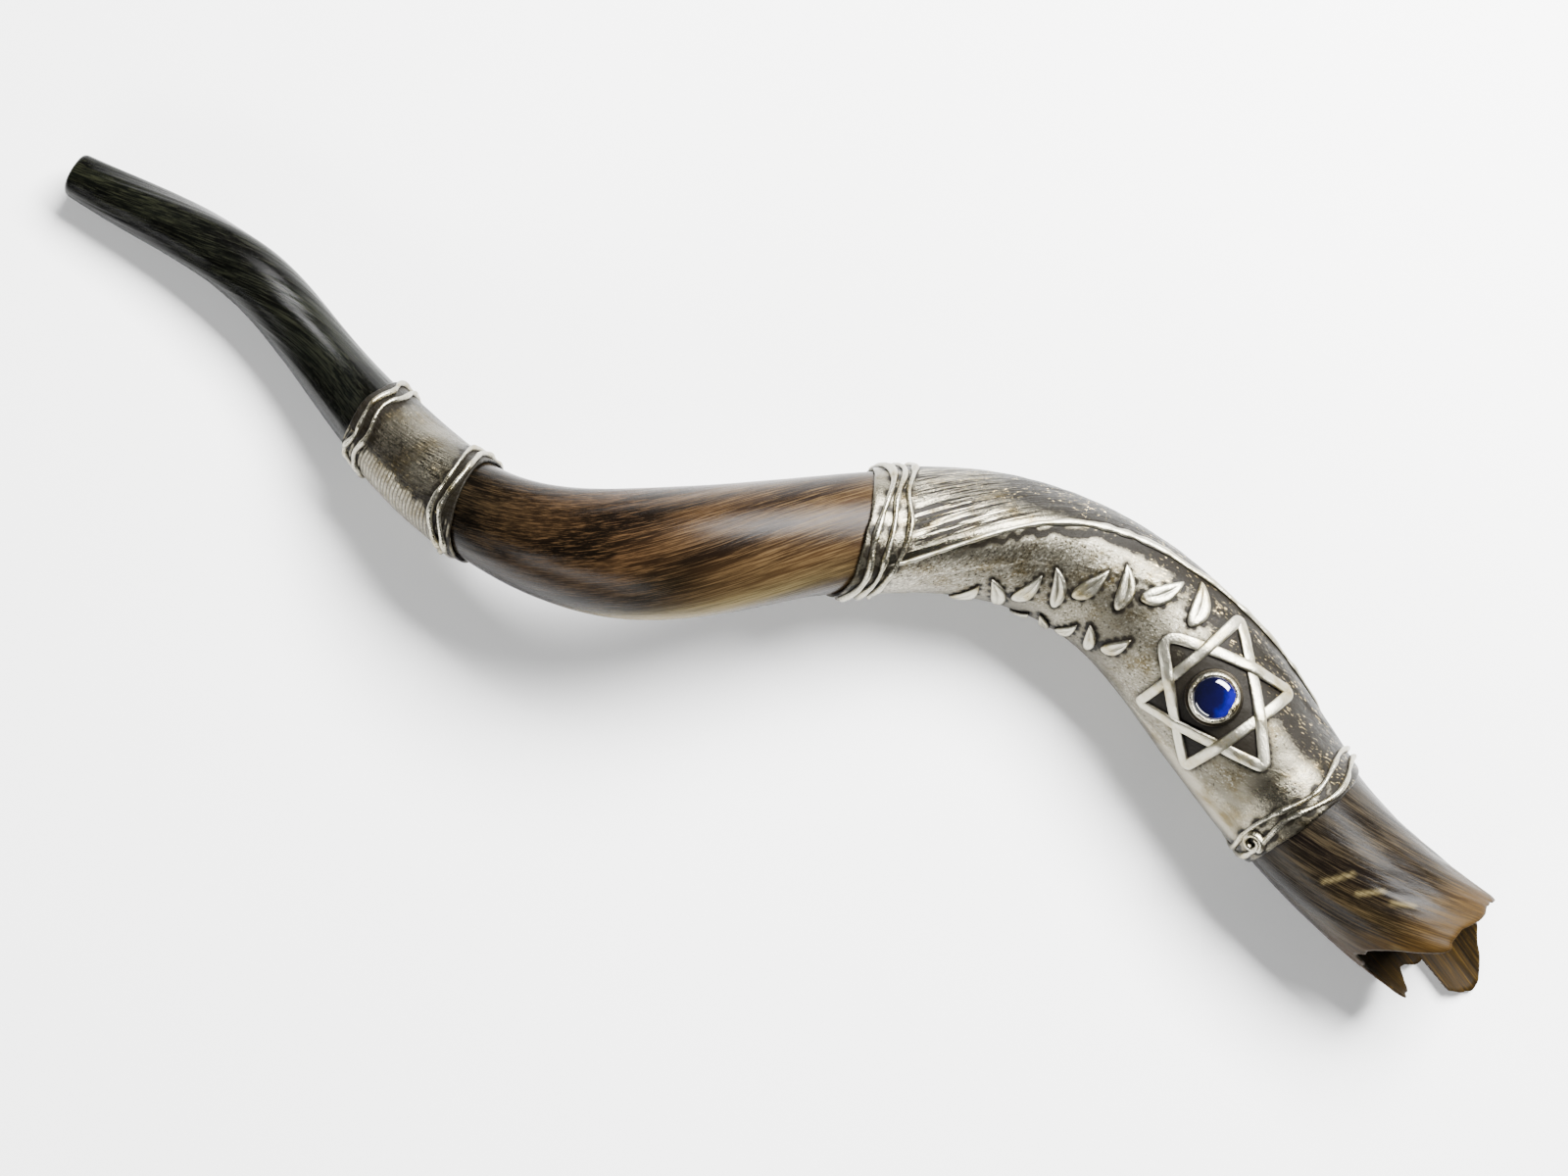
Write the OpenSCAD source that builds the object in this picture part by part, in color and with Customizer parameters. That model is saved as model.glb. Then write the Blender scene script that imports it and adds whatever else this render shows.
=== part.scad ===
// Shofar: a long twisted horn with two chased silver sleeves and a blue stone.
// The horn runs along +X from its mouth to its bell and rests on the plane Z = 0.

/* [Horn] */
// Straight distance from the mouth to the bell
horn_length = 600; // [594:1:606]
// Radius of the horn at its mouth
mouth_r = 8; // [7.5:0.5:9]
// Radius of the horn at its bell
bell_r = 25.5; // [24:0.5:27]
// Sideways swing of the first bend
first_swing = 35; // [30:1:38]
// Sideways swing of the second bend
second_swing = 59; // [54:1:64]
// Height by which the horn arches off the table between its bends
arch_rise = 30; // [24:1:36]
// Turn of the keels for each millimetre along the horn, in degrees
keel_twist = 0.77; // [0.7:0.01:0.84]
// Wall of the horn behind the bell lip
horn_wall = 3; // [2.5:0.1:3.5]

/* [Mouth] */
// Radius of the drilled throat
throat_r = 4.5; // [4:0.1:5]
// Length of the drilled throat, cup included
throat_length = 46; // [44:1:50]
// Radius of the cup at the mouth face
cup_r = 6; // [5.5:0.1:6.5]
// Depth of the cup
cup_depth = 6; // [4:0.5:8]

/* [Silver] */
// Thickness of the pitch that beds a sleeve on the horn
bedding_wall = 0.7; // [0.5:0.1:1]
// Thickness of the silver sheet
sheet_wall = 0.8; // [0.6:0.1:1]
// Width of the wavy wires
wire_w = 2; // [1.6:0.1:2.4]
// Height of the keel moulding over the sheet
ridge_h = 1.4; // [1:0.1:2]
// Distance from the stone to each point of the star
star_r = 30.5; // [27:0.5:32]
// Width of the star's strips
strip_w = 3.2; // [2.6:0.1:3.6]
// Radius of the stone
stone_r = 8.2; // [7.5:0.1:8.6]

/* [Hidden] */

// Stations are distances along X from the mouth. Rings stand one step apart.
ring_step = 8;
ring_sides = 28;
front_span = [147, 201];
bell_span = [326, 528];
stone_at = 475;
stone_angle = 84;

// The row frame's origin lies under the middle of the part's box
mid_x = 311.55;
mid_y = 14.47;

// A bend, swell or turn is a smooth bump: [station, height, reach each way]
side_bends = [[206, -first_swing, 216], [411, second_swing, 256], [584, 2, 110], [78, 4.5, 105],
    [268, -1.5, 90], [122, -1, 60]];
arch_bumps = [[262, arch_rise, 190], [110, -1.7, 150], [440, -1.5, 110]];
swell_bumps = [[459, 0.6, 90], [268, 2.2, 90], [122, -1, 60]];
twist_bumps = [[116, 34, 80], [400, 10, 80]];
// Lean of the silver's edges: how much further along they are at the horn's -Y edge
lean_bumps = [[176, 3.5, 120], [326, -8, 90]];
// Lobe, crack and breaks of the lip: [angle, length, reach in degrees]
lip_chips = [[262, 24, 80], [180, 4, 50], [105, -6, 40], [76, -11, 26], [58, -24, 38], [42, -9, 22],
    [24, -21, 42], [-46, -5, 24]];
lip_crack = 288;
keel_station = 256;
keel_a_height = 0.13;
keel_b_height = 0.08;
keel_sharpness = 9;

// Room under the round of the horn for its keels, sleeves and wires
rest_gap = 3.3;

sheet_in = bedding_wall;
sheet_out = bedding_wall + sheet_wall;
lift_off = 0.02;

function bump(at, b) = let (u = abs(at - b[0]) / b[2]) u < 1 ? b[1] * pow(cos(90 * u), 4) : 0;
function bumps(at, list) = let (v = [for (b = list) bump(at, b)]) v * [for (b = list) 1];
function ease(t) = let (u = max(0, min(1, t))) u * u * (3 - 2 * u);
function unit(v) = v / norm(v);

// Mean radius: quick growth near the mouth, then almost straight
function mean_r(s) = bell_r - (bell_r - mouth_r) * pow(1 - min(1, s / horn_length), 2)
    + bumps(s, swell_bumps);
function keel_angle(s) = keel_twist * (s - keel_station) + bumps(s, twist_bumps);
function crest(a) = exp(keel_sharpness * (cos(a) - 1));
function outer_r(s, a) = mean_r(s) * (1 + keel_a_height * crest(a - keel_angle(s))
    + keel_b_height * crest(a - keel_angle(s) - 180));

// Line through the middle of the horn, and the directions across it
function spine(s) = [s - mid_x, bumps(s, side_bends) - mid_y, mean_r(s) + rest_gap + bumps(s, arch_bumps)];
function along(s) = unit(spine(s + 1) - spine(s - 1));
function across(s) = unit(cross(along(s), [0, 0, 1]));
function upward(s) = cross(across(s), along(s));
function outward(s, a) = cos(a) * across(s) + sin(a) * upward(s);

// Point over the horn's surface at a station, an angle and a height
function over(s, a, h) = spine(s) + (outer_r(s, a) + h) * outward(s, a);
function ring_angle(s, i) = keel_angle(s) + i * 360 / ring_sides;
function ring(s, h) = [for (i = [0:ring_sides - 1]) over(s, ring_angle(s, i), h)];

// Skin over rings of equal count, closed with a fan at each end, or end to end as a loop
module skin(rings, loop = false) {
    n = len(rings[0]);
    m = len(rings);
    last = loop ? m - 1 : m - 2;
    walls = [for (k = [0:last]) for (i = [0:n - 1])
        let (p = k * n, q = ((k + 1) % m) * n, j = (i + 1) % n)
        each [[p + i, p + j, q + j], [p + i, q + j, q + i]]];
    ends = loop ? [] : [for (i = [1:n - 2]) each
        [[0, i + 1, i], [(m - 1) * n, (m - 1) * n + i, (m - 1) * n + i + 1]]];
    polyhedron([for (r = rings) each r], concat(walls, ends), convexity = 10);
}

// Ring stations from the first full ring to the lip, and those of a stretch with both ends
rings_at = concat([for (s = [4:ring_step:524]) s], [528]);
function stations(span) = [for (s = rings_at) if (s >= span[0] && s <= span[1]) s];

// Shell that wraps the horn between two heights over a stretch
module wrap(span, low, high) {
    there = stations(span);
    back = [for (k = [len(there) - 1:-1:0]) there[k]];
    skin(concat([for (s = there) ring(s, high)], [for (s = back) ring(s, low)]), loop = true);
}

// Block that trims a shell on a lean: towards the mouth (way -1) or towards the bell (way 1)
module trim(s, way) {
    n = way * unit(mean_r(s) * along(s) - bumps(s, lean_bumps) * across(s));
    translate(spine(s)) rotate([0, acos(n[2]), atan2(n[1], n[0])])
        translate([-50, -50, 0]) cube([100, 100, 40]);
}
module front_wrap(low, high) difference() {
    wrap([front_span[0] - 16, front_span[1] + 16], low, high);
    trim(front_span[0], -1);
    trim(front_span[1], 1);
}
module bell_wrap(low, high) difference() {
    wrap([bell_span[0] - 18, bell_span[1]], low, high);
    trim(bell_span[0], -1);
}

// Wavy wires with a flat back, laid round a sleeve's end
wire_steps = 40;
wire_section = [[-0.5, 0], [-0.32, 0.55], [0, 0.72], [0.32, 0.55], [0.5, 0]];
function wire_ring(s, a, w) = [for (p = wire_section)
    over(s + bumps(s, lean_bumps) * cos(a) + p[0] * w, a, sheet_out + lift_off + p[1] * w)];
module wavy_wire(s, sway, waves, phase) {
    skin([for (k = [0:wire_steps - 1]) let (a = -360 * k / wire_steps)
        wire_ring(s + sway * sin(waves * a + phase), a, wire_w)], loop = true);
}

// Lip of the bell, as a station for each angle. It breaks off short of its crack
function lip(a) = horn_length + bumps((a - lip_crack) % 360 + lip_crack - 360, lip_chips);
lip_start = 536;
lip_rings = 6;
lip_edge = 1.2;
function lip_point(k, i, low) =
    let (t = k / lip_rings, s = lip_start + (lip(360 + ring_angle(horn_length, i)) - lip_start) * t)
    over(s, ring_angle(s, i), low ? -wall_at(t) : 0);
function wall_at(t) = horn_wall + (lip_edge - horn_wall) * ease(t);

mouth_edge = 2.4;
function mouth_ring(k) = let (t = 90 * k / 4)
    ring(mouth_edge * (1 - cos(t)), -mouth_edge * (1 - sin(t)) * 0.6);
cavity_start = throat_length;
cavity_opens = 120;
function cavity_point(s, i) = let (a = ring_angle(s, i), t = ease((s - cavity_start) / cavity_opens))
    spine(s) + ((throat_r + 0.4) * (1 - t) + (outer_r(s, a) - horn_wall) * t) * outward(s, a);

module horn() {
    // Rings from the mouth to the lip on the outside, then back down the cavity
    outside = concat([for (k = [0:4]) mouth_ring(k)], [for (s = rings_at) ring(s, 0)],
        [for (k = [0:lip_rings]) [for (i = [0:ring_sides - 1]) lip_point(k, i, false)]]);
    inside = concat(
        [for (k = [lip_rings:-1:0]) [for (i = [0:ring_sides - 1]) lip_point(k, i, true)]],
        [for (s = [524:-16:60]) [for (i = [0:ring_sides - 1]) cavity_point(s, i)]],
        [[for (i = [0:ring_sides - 1]) cavity_point(cavity_start, i)]]);
    color("#3a2a20") difference() {
        skin(concat(outside, inside));
        bore_place() {
            translate([0, 0, -1]) cylinder(r = throat_r, h = bore_run + 2, $fn = 48);
            translate([0, 0, -1]) cylinder(r = cup_r + 0.3, h = 1.05, $fn = 48);
            cylinder(r1 = cup_r, r2 = throat_r, h = cup_depth, $fn = 48);
        }
    }
}
// Straight line of the drill, from the mouth face to the cavity's round end
bore_dir = unit(spine(cavity_start) - spine(0));
bore_run = norm(spine(cavity_start) - spine(0));
module bore_place() {
    tilt = acos(bore_dir[2]);
    turn = atan2(bore_dir[1], bore_dir[0]);
    translate(spine(0)) rotate([0, tilt, turn]) children();
}

module front_sleeve() color("#c9c4b8") front_wrap(sheet_in, sheet_out);
module front_sleeve_bedding() color("#4a3b2c") front_wrap(0, sheet_in);
module front_sleeve_mouth_wires() color("#d8d4ca") {
    wavy_wire(front_span[0] + 3, 0.8, 5, 20);
    wavy_wire(front_span[0] + 7, 0.8, 5, 70);
}
module front_sleeve_bell_wires() color("#d8d4ca") {
    wavy_wire(front_span[1] - 8, 0.8, 4, 10);
    wavy_wire(front_span[1] - 4, 0.8, 4, 50);
}
module bell_sleeve() color("#c9c4b8") bell_wrap(sheet_in, sheet_out);
module bell_sleeve_bedding() color("#4a3b2c") bell_wrap(0, sheet_in);
module bell_sleeve_mouth_wires() color("#d8d4ca") {
    for (k = [0:2]) wavy_wire(bell_span[0] + 4 + 4 * k, 0.9, 4, 40 * k);
}
module bell_sleeve_bell_wires() color("#d8d4ca") {
    for (k = [0:1]) wavy_wire(bell_span[1] - 9 + 5 * k, 1.2, 4, 40 * k);
}

// Moulding that rides on the sharp keel
ridge_span = [332, 508];
ridge_half = 7;
function ridge_ring(s) = let (a = keel_angle(s), f = ease((s - ridge_span[0] + 8) / 30)
        * ease((ridge_span[1] - s + 8) / 30))
    [for (d = [[1, 0], [0.4, 0.8], [0, 1], [-0.4, 0.8], [-1, 0]])
        over(s, a - d[0] * ridge_half, sheet_out + 0.1 + d[1] * ridge_h * f)];
module bell_sleeve_ridge() color("#e0ddd4") skin([for (s = stations(ridge_span)) ridge_ring(s)]);

// Flat drawing round the stone, bent onto the sleeve: u runs along it, v round it
function on_sleeve(u, v, h) = let (s = stone_at + u * 0.95)
    over(s, stone_angle + v / mean_r(s) * 180 / PI, sheet_out + h);

// One triangle of the star: its strips pass over and under the other's
side_marks = [0.06, 0.2, 0.27, 0.33, 0.4, 0.5, 0.6, 0.67, 0.73, 0.8, 0.94];
strip_h = 1;
strip_gap = 0.15;
function corner(turn, k) = star_r * [cos(turn + 120 * k), sin(turn + 120 * k)];
function cross_level(t) = bump(t, [1 / 3, 1, 0.16]) - bump(t, [2 / 3, 1, 0.16]);
function strip_ring(turn, k, t) =
    let (p = corner(turn, k), q = corner(turn, k + 1), c = p + (q - p) * t,
        n = unit([q[1] - p[1], p[0] - q[0]]) * strip_w / 2, w = cross_level(t),
        low = strip_gap + max(0, w) * (strip_h * 0.6 + strip_gap),
        high = strip_gap + strip_h + max(0, w) * strip_h * 0.5 + min(0, w) * strip_h * 0.5)
    [on_sleeve(c[0] + n[0], c[1] + n[1], low), on_sleeve(c[0] + n[0] * 0.6, c[1] + n[1] * 0.6, high),
        on_sleeve(c[0] - n[0] * 0.6, c[1] - n[1] * 0.6, high), on_sleeve(c[0] - n[0], c[1] - n[1], low)];
module star_triangle(turn) color("#e0ddd4")
    skin([for (k = [0:2]) for (t = side_marks) strip_ring(turn, k, t)], loop = true);
module star_triangle_a() star_triangle(60);
module star_triangle_b() star_triangle(0);

// Stone, its ring and the disc under it, square to the sleeve
seat_r = stone_r + 2.6;
seat_h = 1.2;
bezel_h = 2;
module stone_place() {
    out = outward(stone_at, stone_angle);
    translate(on_sleeve(0, 0, 0)) rotate([0, acos(out[2]), atan2(out[1], out[0])]) children();
}
module stone_seat() color("#6e675c") difference() {
    stone_place() translate([0, 0, -4]) cylinder(r = seat_r, h = 4 + seat_h, $fn = 64);
    skin([for (s = [452:ring_step:508]) ring(s, sheet_out)]);
}
module stone_bezel() color("#d8d4ca") stone_place() translate([0, 0, seat_h])
    difference() {
        cylinder(r = stone_r + 1.2, h = bezel_h, $fn = 64);
        translate([0, 0, -1]) cylinder(r = stone_r, h = bezel_h + 2, $fn = 64);
    }
dome_r = 13;
dome_h = 4.2;
module stone() color("#10208c") stone_place() translate([0, 0, seat_h]) intersection() {
    cylinder(r = stone_r, h = dome_h, $fn = 64);
    translate([0, 0, dome_h - dome_r]) sphere(r = dome_r, $fn = 96);
}

// Raised leaves in a row: each is a pointed oval that follows the sleeve, wider at its stalk end
leaf_h = 1;
leaf_marks = [-0.98, -0.8, -0.4, 0, 0.4, 0.8, 0.98];
function leaf_half(t) = 0.42 * (1 - 0.35 * t) * sqrt(1 - t * t);
function leaf_ring(s, a, turn, size, t) = [for (d = [[-1, 0], [-0.55, 0.85], [0, 1], [0.55, 0.85], [1, 0]])
    let (u = size * t, v = size * leaf_half(t) * d[0], x = u * cos(turn) - v * sin(turn),
        y = u * sin(turn) + v * cos(turn))
    over(s + x, a + y / mean_r(s) * 180 / PI, sheet_out + strip_gap + d[1] * leaf_h)];
module leaf(s, a, turn, size) skin([for (t = leaf_marks) leaf_ring(s, a, turn, size, t)]);
module leaf_row(from, to, count, size) {
    for (k = [0:count - 1]) {
        at = from + (to - from) * k / (count - 1);
        leaf(at[0], at[1], k % 2 == 0 ? 62 : 118, size);
    }
}
module leaf_row_upper() color("#e0ddd4") leaf_row([366, 18], [449, 124], 8, 8.2);
module leaf_row_lower() color("#e0ddd4") leaf_row([394, 0], [438, 48], 5, 6.8);

horn();
front_sleeve();
front_sleeve_bedding();
front_sleeve_mouth_wires();
front_sleeve_bell_wires();
bell_sleeve();
bell_sleeve_bedding();
bell_sleeve_mouth_wires();
bell_sleeve_bell_wires();
bell_sleeve_ridge();
star_triangle_a();
star_triangle_b();
stone_seat();
stone_bezel();
stone();
leaf_row_upper();
leaf_row_lower();
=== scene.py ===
import math
import bpy
import numpy as np
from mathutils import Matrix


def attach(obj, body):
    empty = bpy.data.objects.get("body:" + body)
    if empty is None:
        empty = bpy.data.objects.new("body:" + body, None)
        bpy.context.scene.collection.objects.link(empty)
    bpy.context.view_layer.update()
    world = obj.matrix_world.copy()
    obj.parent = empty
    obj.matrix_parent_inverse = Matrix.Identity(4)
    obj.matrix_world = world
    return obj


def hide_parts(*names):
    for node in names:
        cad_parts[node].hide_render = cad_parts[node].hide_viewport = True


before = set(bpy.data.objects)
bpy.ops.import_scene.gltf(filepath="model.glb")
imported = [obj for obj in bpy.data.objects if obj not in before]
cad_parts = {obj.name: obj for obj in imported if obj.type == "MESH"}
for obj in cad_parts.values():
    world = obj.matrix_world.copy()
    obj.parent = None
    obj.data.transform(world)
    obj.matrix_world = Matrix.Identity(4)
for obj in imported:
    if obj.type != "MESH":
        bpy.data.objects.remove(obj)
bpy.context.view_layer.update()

# Lengths are in millimetres and angles in degrees until a mesh is made.
MM = 0.001

# ---------------------------------------------------------------- sizes of the horn
HORN_LENGTH = 600
MOUTH_R = 8
BELL_R = 25.5
KEEL_TWIST = 0.77
KEEL_STATION = 256
KEEL_A_HEIGHT = 0.13
KEEL_B_HEIGHT = 0.08
KEEL_SHARPNESS = 9
HORN_WALL = 3
LIP_EDGE = 1.2
REST_GAP = 3.3
MID_X = 311.55
MID_Y = 14.47

# A bend, swell or turn is a smooth bump: (station, height, reach each way)
SIDE_BENDS = [(206, -35, 216), (411, 59, 256), (584, 2, 110), (78, 4.5, 105), (268, -1.5, 90),
              (122, -1, 60)]
ARCH_BUMPS = [(262, 30, 190), (110, -1.7, 150), (440, -1.5, 110)]
SWELL_BUMPS = [(459, 0.6, 90), (268, 2.2, 90), (122, -1, 60)]
TWIST_BUMPS = [(116, 34, 80), (400, 10, 80)]
LEAN_BUMPS = [(176, 3.5, 120), (326, -8, 90)]
# Lobe, crack and breaks of the lip: (angle, length, reach in degrees)
LIP_CHIPS = [(262, 24, 80), (180, 4, 50), (105, -6, 40), (76, -11, 26), (58, -24, 38), (42, -9, 22),
             (24, -21, 42), (-46, -5, 24)]
LIP_CRACK = 288

THROAT_R = 4.5
THROAT_LENGTH = 46
CUP_R = 6
CUP_DEPTH = 6
CAVITY_OPENS = 120
MOUTH_EDGE_LONG = 2.4
MOUTH_EDGE_ROUND = 1.4

# ---------------------------------------------------------------- sizes of the silver
BEDDING = 0.7
SHEET = 1.5
FRONT_SPAN = (147, 201)
BELL_SPAN = (326, 528)
RIDGE_SPAN = (332, 508)
STONE_AT = 475
STONE_ANGLE = 84
STONE_R = 8.2
SEAT_H = 1.2
BEZEL_H = 2
STAR_R = 30.5
STRIP_W = 4.4
LEAF_H = 1.1
WIRE_W = 2.2


# ---------------------------------------------------------------- the horn's own shape
def bumps(at, rows):
    total = np.zeros_like(np.asarray(at, float))
    for place, height, reach in rows:
        u = np.clip(np.abs(at - place) / reach, 0, 1)
        total = total + height * np.cos(u * math.pi / 2) ** 4
    return total


def ease(t):
    u = np.clip(t, 0, 1)
    return u * u * (3 - 2 * u)


def within(s, span, fade):
    """1 inside a span of stations, fading to 0 at both of its ends."""
    return ease((s - span[0]) / fade) * ease((span[1] - s) / fade)


def wrap_turn(turn):
    return (turn + 180) % 360 - 180


def mean_r(s):
    taper = (1 - np.clip(s / HORN_LENGTH, 0, 1)) ** 2
    return BELL_R - (BELL_R - MOUTH_R) * taper + bumps(s, SWELL_BUMPS)


def keel_angle(s):
    return KEEL_TWIST * (s - KEEL_STATION) + bumps(s, TWIST_BUMPS)


def leaning(s, a):
    """Station of a ring that leans as the silver's edges do."""
    return s + bumps(s, LEAN_BUMPS) * np.cos(np.radians(a))


def crest(a, sharpness=KEEL_SHARPNESS):
    return np.exp(sharpness * (np.cos(np.radians(a)) - 1))


def outer_r(s, a):
    t = a - keel_angle(s)
    return mean_r(s) * (1 + KEEL_A_HEIGHT * crest(t) + KEEL_B_HEIGHT * crest(t - 180))


def spine(s):
    s = np.asarray(s, float)
    y = bumps(s, SIDE_BENDS) - MID_Y
    z = mean_r(s) + REST_GAP + bumps(s, ARCH_BUMPS)
    return np.stack([s - MID_X, y, z], -1)


def unit(v):
    return v / np.linalg.norm(v, axis=-1, keepdims=True)


def outward(s, a):
    """Direction out of the horn at a station and an angle."""
    along = unit(spine(s + 1) - spine(s - 1))
    across = unit(np.cross(along, [0.0, 0.0, 1.0]))
    upward = np.cross(across, along)
    a = np.radians(a)[..., None]
    return np.cos(a) * across + np.sin(a) * upward


def at_radius(s, a, r):
    s, a, r = np.broadcast_arrays(np.asarray(s, float), np.asarray(a, float), r)
    return spine(s) + r[..., None] * outward(s, a)


def over(s, a, h):
    s, a = np.broadcast_arrays(np.asarray(s, float), np.asarray(a, float))
    return at_radius(s, a, outer_r(s, a) + h)


# ---------------------------------------------------------------- uneven surfaces
def uneven(s, turn, length, cells, seed):
    """Smooth noise from -1 to 1: cells of a length along the horn, so many round it, with no seam."""
    rows = int(700 / length) + 4
    grid = np.random.default_rng(seed).uniform(-1, 1, (rows, cells))
    s, turn = np.broadcast_arrays((np.asarray(s, float) + 30) / length, np.asarray(turn, float))
    s = np.clip(s, 0, rows - 2.001)
    v = (turn / 360 % 1) * cells
    i, j = np.floor(s).astype(int), np.floor(v).astype(int)
    fs, fv = ease(s - i), ease(v - j)
    j, k = j % cells, (j + 1) % cells
    low = grid[i, j] * (1 - fv) + grid[i, k] * fv
    high = grid[i + 1, j] * (1 - fv) + grid[i + 1, k] * fv
    return low * (1 - fs) + high * fs


# ---------------------------------------------------------------- meshes
def skin(points, loop_rows=False, caps=False):
    """Points and faces over a grid of points, closed round each row."""
    rows, cols = points.shape[:2]
    k = np.arange(rows if loop_rows else rows - 1)[:, None]
    i = np.arange(cols)[None, :]
    j, below = (i + 1) % cols, (k + 1) % rows
    quads = np.stack([k * cols + i, k * cols + j, below * cols + j, below * cols + i], -1)
    faces = quads.reshape(-1, 4).tolist()
    if caps:
        faces.append(list(range(cols))[::-1])
        faces.append(list(range((rows - 1) * cols, rows * cols)))
    return points.reshape(-1, 3), faces


def join(parts):
    points, faces, start = [], [], 0
    for part_points, part_faces in parts:
        points.append(part_points)
        faces.extend([[start + i for i in face] for face in part_faces])
        start += len(part_points)
    return np.concatenate(points), faces


def grain_of(s, turn, r):
    """The horn laid out straight, in millimetres: what fibres, hatching and marks follow."""
    s, turn, r = np.broadcast_arrays(s, turn, r)
    turn = np.radians(turn)
    return np.stack([s, r * np.cos(turn), r * np.sin(turn)], -1)


def piece(name, node, materials, shape, grain, masks=None, faces_of=None):
    """A finished piece that stands for a CAD node."""
    points, faces = shape
    mesh = bpy.data.meshes.new(name)
    mesh.from_pydata((points * MM).tolist(), [], faces)
    mesh.attributes.new("grain", "FLOAT_VECTOR", "POINT").data.foreach_set("vector", np.ravel(grain))
    for mask, values in (masks or {}).items():
        mesh.attributes.new(mask, "FLOAT", "POINT").data.foreach_set("value", np.ravel(values))
    for material in materials:
        mesh.materials.append(material)
    if faces_of is not None:
        mesh.polygons.foreach_set("material_index", faces_of)
    mesh.shade_smooth()
    mesh.update()
    made = bpy.data.objects.new(name, mesh)
    bpy.context.scene.collection.objects.link(made)
    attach(made, "root")
    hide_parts(node)
    return made


# ---------------------------------------------------------------- materials
def paint(text):
    """An sRGB hex colour as linear red, green, blue and alpha."""
    channels = [int(text[i:i + 2], 16) / 255 for i in (1, 3, 5)]
    linear = [c / 12.92 if c <= 0.04045 else ((c + 0.055) / 1.055) ** 2.4 for c in channels]
    return (*linear, 1.0)


def add(tree, kind, inputs=None, **settings):
    """One node with its settings; an input is a value, or another node's output to link."""
    made = tree.nodes.new("ShaderNode" + kind)
    for setting, value in settings.items():
        setattr(made, setting, value)
    for socket, value in (inputs or {}).items():
        if isinstance(value, bpy.types.NodeSocket):
            tree.links.new(value, made.inputs[socket])
        else:
            made.inputs[socket].default_value = value
    return made


def ramp(tree, factor, stops):
    made = add(tree, "ValToRGB", {"Fac": factor})
    elements = made.color_ramp.elements
    while len(elements) < len(stops):
        elements.new(0.5)
    for element, (place, colour) in zip(elements, stops):
        element.position = place
        element.color = paint(colour)
    return made.outputs["Color"]


def reach(tree, value, low, high, to_low=0.0, to_high=1.0):
    made = add(tree, "MapRange", {"Value": value, "From Min": low, "From Max": high,
                                  "To Min": to_low, "To Max": to_high})
    return made.outputs["Result"]


def blend(tree, factor, first, second, how="MIX"):
    made = add(tree, "Mix", data_type="RGBA", blend_type=how)
    for socket, value in ((0, factor), (6, first), (7, second)):
        if isinstance(value, bpy.types.NodeSocket):
            tree.links.new(value, made.inputs[socket])
        else:
            made.inputs[socket].default_value = value
    return made.outputs[2]


def pattern(tree, size, detail=4.0, roughness=0.55):
    """Noise on the straightened horn. size is one grain's length, and its width, in millimetres."""
    grain = add(tree, "Attribute", attribute_name="grain").outputs["Vector"]
    scaled = add(tree, "VectorMath", {0: grain, 1: (1 / size[0], 1 / size[1], 1 / size[1])},
                 operation="MULTIPLY").outputs[0]
    noise = add(tree, "TexNoise", {"Vector": scaled, "Scale": 1.0, "Detail": detail,
                                   "Roughness": roughness})
    return noise.outputs["Fac"]


def mask(tree, name):
    return add(tree, "Attribute", attribute_name=name).outputs["Fac"]


def maths(tree, how, first, second):
    return add(tree, "Math", {0: first, 1: second}, operation=how).outputs[0]


def surface(name):
    """A new material's tree and its one shader."""
    material = bpy.data.materials.new(name)
    material.use_nodes = True
    tree = material.node_tree
    return material, tree, tree.nodes["Principled BSDF"]


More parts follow.
